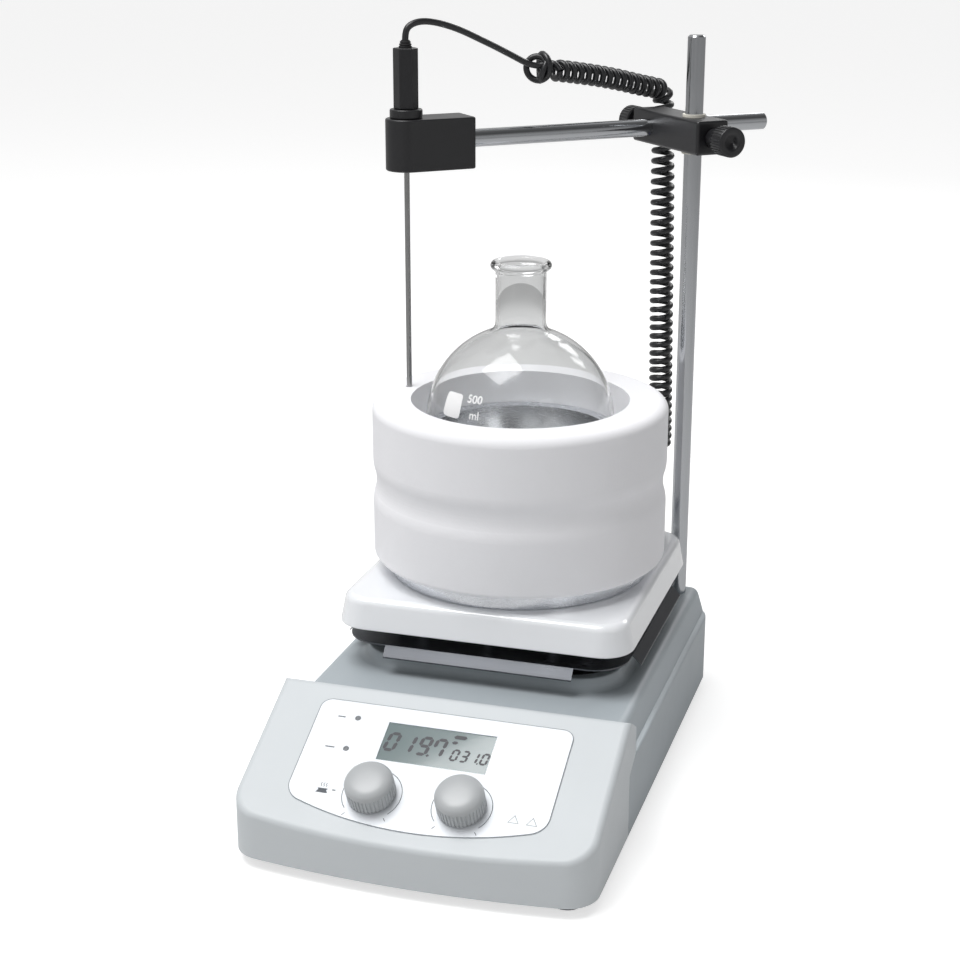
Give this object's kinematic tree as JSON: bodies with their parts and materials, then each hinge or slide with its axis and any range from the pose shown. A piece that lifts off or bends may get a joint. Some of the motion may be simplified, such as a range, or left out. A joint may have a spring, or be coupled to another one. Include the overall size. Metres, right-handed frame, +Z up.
{
  "type": "magnetic stirrer",
  "caption": "Digital hotplate magnetic stirrer with a flask block and insulating rings, a round-bottom flask, a support rod with boss-head clamp, and a temperature probe on a curly lead.",
  "frame": {"origin": "the stirring axis where it meets the bench under the rubber feet", "axes": "+X to the right seen from the front panel, +Y to the back, +Z up along the stirring axis"},
  "size_m": [0.2044, 0.3669, 0.4033],
  "materials": {
    "front_paint": "satin, fine grain",
    "rear_paint": "satin, fine grain",
    "panel_film": "smooth printed film",
    "lcd_glass": "glossy",
    "led_lens": "glossy",
    "board": "satin",
    "knob_plastic": "satin, finely ribbed skirt",
    "shaft_steel": "machined",
    "nylon": "satin",
    "pan_steel": "zinc plated sheet",
    "foot_rubber": "matt",
    "screw_steel": "zinc plated",
    "black_plastic": "fine texture",
    "motor_steel": "plain",
    "magnet": "nickel plated",
    "aluminium": "machined",
    "tray_steel": "polished stainless sheet",
    "enamel": "glossy white enamel",
    "insulation": "fibre blanket",
    "ring_white": "matt moulded",
    "flask_glass": "clear borosilicate",
    "ptfe": "smooth",
    "rod_steel": "ground stainless",
    "clamp_black": "satin black coat",
    "cord_black": "satin jacket",
    "brass": "turned"
  },
  "bodies": {
    "base": {"bottom_pan": "pan_steel", "rubber_feet": "foot_rubber", "housing_screws": "screw_steel", "front_shell": "front_paint", "rear_housing": "rear_paint", "panel_overlay": "panel_film", "lcd_module": "lcd_glass", "status_leds": "led_lens", "circuit_boards": "board", "encoder_bodies": "black_plastic", "mains_inlet": "black_plastic", "switch_frame": "black_plastic", "sensor_socket": "black_plastic", "motor_bracket": "pan_steel", "motor_stator": "motor_steel", "rotor_bearings": "shaft_steel", "inner_pan": "tray_steel", "reflector_tray": "tray_steel", "plate_posts": "shaft_steel", "heating_plate": "enamel", "heating_element": "motor_steel", "plate_insulation": "insulation", "rod_socket": "aluminium", "support_rod": "rod_steel", "sensor_plug": "black_plastic", "cord_tail": "cord_black", "cord_drop_lower": "cord_black"},
    "rotor": {"rotor_shaft": "shaft_steel", "magnet_carrier": "aluminium", "drive_magnets": "magnet"},
    "fuse_holder": {"fuse_drawer": "black_plastic"},
    "rocker": {"power_rocker": "black_plastic"},
    "heat_press": {"heat_plunger": "nylon"},
    "heat_dial": {"heat_knob": "knob_plastic", "heat_shaft": "shaft_steel"},
    "stir_press": {"stir_plunger": "nylon"},
    "stir_dial": {"stir_knob": "knob_plastic", "stir_shaft": "shaft_steel"},
    "flask_seat": {"flask_block": "aluminium", "lower_ring": "ring_white", "upper_ring": "ring_white"},
    "flask_body": {"flask": "flask_glass"},
    "bar": {"stir_bar": "ptfe"},
    "bush": {"rod_bush": "nylon", "cord_drop_upper": "cord_black"},
    "clamp": {"clamp_block": "clamp_black", "cord_top_coil": "cord_black"},
    "rod_tip": {"rod_pad": "brass"},
    "rod_thumb": {"rod_screw": "black_plastic"},
    "arm_tip": {"arm_pad": "brass"},
    "arm_thumb": {"arm_screw": "black_plastic"},
    "arm": {"arm_rod": "rod_steel", "probe_holder": "black_plastic", "holder_set_screw": "screw_steel", "cord_knot": "cord_black", "cord_lead": "cord_black"},
    "probe": {"probe_stem": "rod_steel", "probe_collar": "clamp_black", "probe_handle": "black_plastic", "lead_boot": "cord_black"}
  },
  "joints": [
    {"name": "rotor_spin", "type": "hinge", "parent": "base", "child": "rotor", "pos_m": [0, 0, 0], "axis": [0, 0, 1], "continuous": true},
    {"name": "seat_lift", "type": "slide", "parent": "base", "child": "flask_seat", "axis": [0, 0, 1], "range_m": [0, 0.03]},
    {"name": "flask_lift", "type": "slide", "parent": "flask_seat", "child": "flask_body", "axis": [0, 0, 1], "range_m": [0, 0.07]},
    {"name": "bar_spin", "type": "hinge", "parent": "flask_body", "child": "bar", "pos_m": [0, 0, 0.142], "axis": [0, 0, 1], "continuous": true},
    {"name": "heat_push", "type": "slide", "parent": "base", "child": "heat_press", "axis": [0, 0.4463, -0.8949], "range_m": [0, 0.0006], "stiffness_N_per_m": 2500, "springref_m": -0.0004},
    {"name": "heat_turn", "type": "hinge", "parent": "heat_press", "child": "heat_dial", "pos_m": [-0.0235, -0.1811, 0.04058], "axis": [0, -0.4463, 0.8949], "continuous": true},
    {"name": "stir_push", "type": "slide", "parent": "base", "child": "stir_press", "axis": [0, 0.4463, -0.8949], "range_m": [0, 0.0006], "stiffness_N_per_m": 2500, "springref_m": -0.0004},
    {"name": "stir_turn", "type": "hinge", "parent": "stir_press", "child": "stir_dial", "pos_m": [0.0235, -0.1811, 0.04058], "axis": [0, -0.4463, 0.8949], "continuous": true},
    {"name": "power_switch", "type": "hinge", "parent": "base", "child": "rocker", "pos_m": [-0.018, 0.094, 0.03], "axis": [-1, 0, 0], "range_deg": [0, 22]},
    {"name": "fuse_pull", "type": "slide", "parent": "base", "child": "fuse_holder", "axis": [0, 1, 0], "range_m": [0, 0.012]},
    {"name": "clamp_height", "type": "slide", "parent": "base", "child": "bush", "axis": [0, 0, 1], "range_m": [-0.04, 0.035], "deforming": ["cord_drop_lower"]},
    {"name": "clamp_swivel", "type": "hinge", "parent": "bush", "child": "clamp", "pos_m": [0.0762, 0.086, 0.3375], "axis": [0, 0, 1], "range_deg": [-75, 0], "deforming": ["cord_drop_upper"]},
    {"name": "arm_slide", "type": "slide", "parent": "clamp", "child": "arm", "axis": [-0.7495, -0.662, 0], "range_m": [-0.012, 0.045], "deforming": ["cord_top_coil"]},
    {"name": "probe_lift", "type": "slide", "parent": "arm", "child": "probe", "axis": [0, 0, 1], "range_m": [0, 0.09], "deforming": ["cord_lead"]},
    {"name": "rod_tip_travel", "type": "slide", "parent": "clamp", "child": "rod_tip", "axis": [0.662, -0.7495, 0], "range_m": [0, 0.0031]},
    {"name": "rod_thumb_turn", "type": "hinge", "parent": "rod_tip", "child": "rod_thumb", "pos_m": [0.0762, 0.086, 0.3375], "axis": [0.662, -0.7495, 0], "range_deg": [0, 720]},
    {"name": "arm_tip_travel", "type": "slide", "parent": "clamp", "child": "arm_tip", "axis": [-0.662, 0.7495, 0], "range_m": [0, 0.0031]},
    {"name": "arm_thumb_turn", "type": "hinge", "parent": "arm_tip", "child": "arm_thumb", "pos_m": [0.0762, 0.086, 0.3375], "axis": [-0.662, 0.7495, 0], "range_deg": [0, 720]}
  ],
  "couplings": [
    {"joint": "bar_spin", "follows": "rotor_spin", "ratio": 1},
    {"joint": "rod_tip_travel", "follows": "rod_thumb_turn", "m_per_rad": 0.00023873},
    {"joint": "arm_tip_travel", "follows": "arm_thumb_turn", "m_per_rad": 0.00023873}
  ]
}
